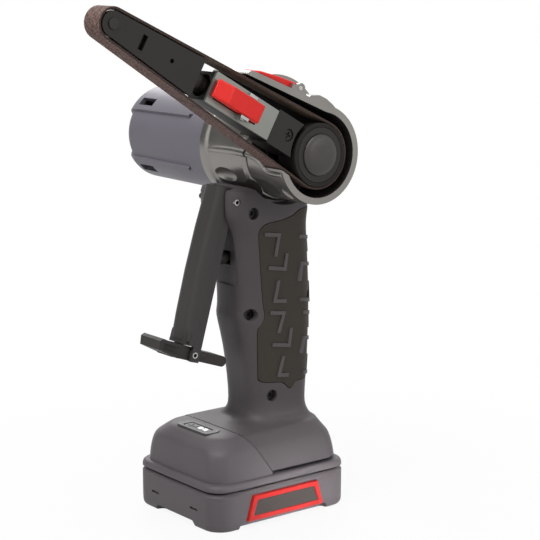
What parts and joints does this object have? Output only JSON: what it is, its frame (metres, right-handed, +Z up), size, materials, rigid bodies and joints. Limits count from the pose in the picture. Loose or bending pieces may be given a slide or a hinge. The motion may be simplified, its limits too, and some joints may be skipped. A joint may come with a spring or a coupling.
{
  "type": "power file",
  "caption": "Cordless power file: pistol handle with paddle trigger, slide-on battery foot, side motor barrel and a narrow abrasive belt on a sprung arm.",
  "frame": {"origin": "centre of the battery's underside, on the floor", "axes": "+Z up, -Y towards the paddle and the arm's tip, +X along the motor axis towards the belt pulley"},
  "size_m": [0.1367, 0.1462, 0.2482],
  "materials": {
    "handle_plastic": "fine moulded texture",
    "cover_plastic": "fine moulded texture",
    "battery_plastic": "fine moulded texture",
    "rubber": "matte",
    "casting": "satin cast",
    "black_parts": "satin",
    "steel": "bright",
    "copper": "copper winding",
    "board": "circuit board",
    "red": "glossy",
    "release_inset": "matte",
    "abrasive": "coated abrasive cloth",
    "cell_wrap": "shrink wrap"
  },
  "bodies": {
    "handle": {"handle_left": "handle_plastic", "handle_right": "handle_plastic", "grip_rubber": "rubber", "motor_cover": "cover_plastic", "gear_housing": "casting", "motor_can": "steel", "magnets": "black_parts", "end_bell": "black_parts", "rear_bearing": "steel", "ring_gear": "steel", "spindle_bearing": "steel", "neck_clip": "steel", "switch_body": "black_parts", "control_board": "board", "terminal_block": "black_parts", "leads": "red", "handle_screws": "steel", "housing_screws": "steel", "paddle_pin": "steel", "motor_plate": "steel"},
    "paddle": {"paddle": "black_parts", "lock_pin": "steel"},
    "lock": {"lock_lever": "black_parts"},
    "plunger": {"switch_plunger": "black_parts"},
    "drive": {"carrier": "steel", "drive_pulley": "black_parts", "pulley_tyre": "rubber", "hub_cap": "black_parts"},
    "rotor": {"motor_shaft": "steel", "armature": "copper", "commutator": "copper", "fan": "black_parts", "sun_pinion": "steel"},
    "planet_a": {"planet_a": "steel"},
    "planet_b": {"planet_b": "steel"},
    "planet_c": {"planet_c": "steel"},
    "belt_head": {"belt_guard": "casting", "arm_block": "black_parts", "block_screw": "steel", "arm_bracket": "steel", "lever_pin": "steel", "belt": "abrasive", "tension_spring": "steel", "top_lever_pin": "steel"},
    "arm_tip": {"arm_tip": "black_parts", "slide_rod": "black_parts", "tip_axle": "steel"},
    "idler": {"tip_roller": "steel"},
    "tension_lever": {"tension_lever": "red"},
    "top_lever": {"top_lever": "red"},
    "battery": {"battery_lower": "battery_plastic", "battery_upper": "battery_plastic", "cells": "cell_wrap", "battery_board": "board", "gauge_frame": "black_parts"},
    "gauge_button": {"gauge_button": "black_parts"},
    "release_left": {"release_left": "red", "release_panel_left": "release_inset"},
    "release_right": {"release_right": "red", "release_panel_right": "release_inset"}
  },
  "joints": [
    {"name": "drive_spin", "type": "hinge", "parent": "handle", "child": "drive", "pos_m": [0, 0.016, 0.1765], "axis": [1, 0, 0], "continuous": true},
    {"name": "rotor_spin", "type": "hinge", "parent": "handle", "child": "rotor", "pos_m": [0, 0.016, 0.1765], "axis": [1, 0, 0], "continuous": true},
    {"name": "planet_a_spin", "type": "hinge", "parent": "drive", "child": "planet_a", "pos_m": [0, 0.0268, 0.1765], "axis": [1, 0, 0], "continuous": true},
    {"name": "planet_b_spin", "type": "hinge", "parent": "drive", "child": "planet_b", "pos_m": [0, 0.0106, 0.18585], "axis": [1, 0, 0], "continuous": true},
    {"name": "planet_c_spin", "type": "hinge", "parent": "drive", "child": "planet_c", "pos_m": [0, 0.0106, 0.16715], "axis": [1, 0, 0], "continuous": true},
    {"name": "arm_swing", "type": "hinge", "parent": "handle", "child": "belt_head", "pos_m": [0, 0.016, 0.1765], "axis": [1, 0, 0], "range_deg": [-30, 30]},
    {"name": "tension_lever_lift", "type": "hinge", "parent": "belt_head", "child": "tension_lever", "pos_m": [0.0415, -0.02821, 0.20172], "axis": [0, 0.4955, 0.8686], "range_deg": [0, 35]},
    {"name": "tip_slide", "type": "slide", "parent": "belt_head", "child": "arm_tip", "axis": [0, 0.8686, -0.4955], "range_m": [0, 0.006], "deforming": ["tension_spring"]},
    {"name": "idler_spin", "type": "hinge", "parent": "arm_tip", "child": "idler", "pos_m": [0, -0.09692, 0.24091], "axis": [1, 0, 0], "continuous": true},
    {"name": "top_lever_lift", "type": "hinge", "parent": "belt_head", "child": "top_lever", "pos_m": [0, 0.00742, 0.20787], "axis": [-1, 0, 0], "range_deg": [0, 60]},
    {"name": "paddle_squeeze", "type": "hinge", "parent": "handle", "child": "paddle", "pos_m": [0, -0.0132, 0.1537], "axis": [1, 0, 0], "range_deg": [0, 8], "stiffness_Nm_per_rad": 1.2, "springref_deg": -8.59},
    {"name": "lock_turn", "type": "hinge", "parent": "paddle", "child": "lock", "pos_m": [0, -0.03387, 0.0816], "axis": [1, 0, 0], "range_deg": [0, 89]},
    {"name": "plunger_press", "type": "slide", "parent": "handle", "child": "plunger", "axis": [0, 1, 0], "range_m": [0, 0.0046]},
    {"name": "battery_slide", "type": "slide", "parent": "handle", "child": "battery", "axis": [0, -1, 0], "range_m": [0, 0.09]},
    {"name": "gauge_press", "type": "slide", "parent": "battery", "child": "gauge_button", "axis": [0, 0, -1], "range_m": [0, 0.0004], "stiffness_N_per_m": 600},
    {"name": "release_left_press", "type": "slide", "parent": "battery", "child": "release_left", "axis": [-1, 0, 0], "range_m": [0, 0.0015], "stiffness_N_per_m": 800},
    {"name": "release_right_press", "type": "slide", "parent": "battery", "child": "release_right", "axis": [1, 0, 0], "range_m": [0, 0.0015], "stiffness_N_per_m": 800}
  ],
  "couplings": [
    {"joint": "rotor_spin", "follows": "drive_spin", "ratio": 4.5},
    {"joint": "planet_a_spin", "follows": "drive_spin", "ratio": -2.8},
    {"joint": "planet_b_spin", "follows": "drive_spin", "ratio": -2.8},
    {"joint": "planet_c_spin", "follows": "drive_spin", "ratio": -2.8},
    {"joint": "idler_spin", "follows": "drive_spin", "ratio": 2.3846},
    {"joint": "tension_lever_lift", "follows": "tip_slide", "rad_per_m": 101.81},
    {"joint": "lock_turn", "follows": "paddle_squeeze", "ratio": 11},
    {"joint": "plunger_press", "follows": "paddle_squeeze", "m_per_rad": 0.032}
  ]
}
